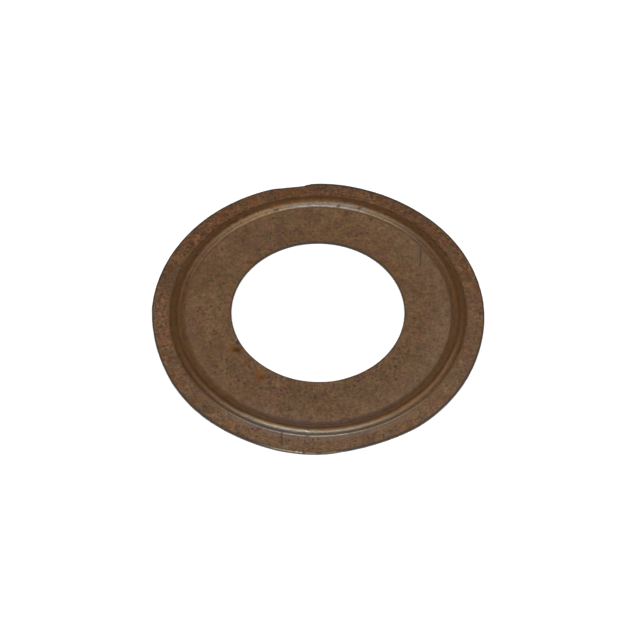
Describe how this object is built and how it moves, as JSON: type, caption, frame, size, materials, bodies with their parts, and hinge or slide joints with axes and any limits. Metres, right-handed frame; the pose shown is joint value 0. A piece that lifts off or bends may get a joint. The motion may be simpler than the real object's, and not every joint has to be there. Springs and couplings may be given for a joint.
{
  "type": "pressed washer",
  "caption": "Thin pressed steel washer with a wide bore, a raised round bead near the rim and a narrow flat flange.",
  "frame": {"origin": "centre of the bore, on the underside", "axes": "+Z along the bore axis, towards the face that the bead stands up from; -Y towards the side that is nearest in the picture"},
  "size_m": [0.0676, 0.0676, 0.0011],
  "materials": {
    "steel": "satin sheet steel under a brown patina, with fine dark pits, a little orange rust, and the bead worn brighter"
  },
  "bodies": {
    "root": {"washer": "steel"}
  },
  "joints": []
}
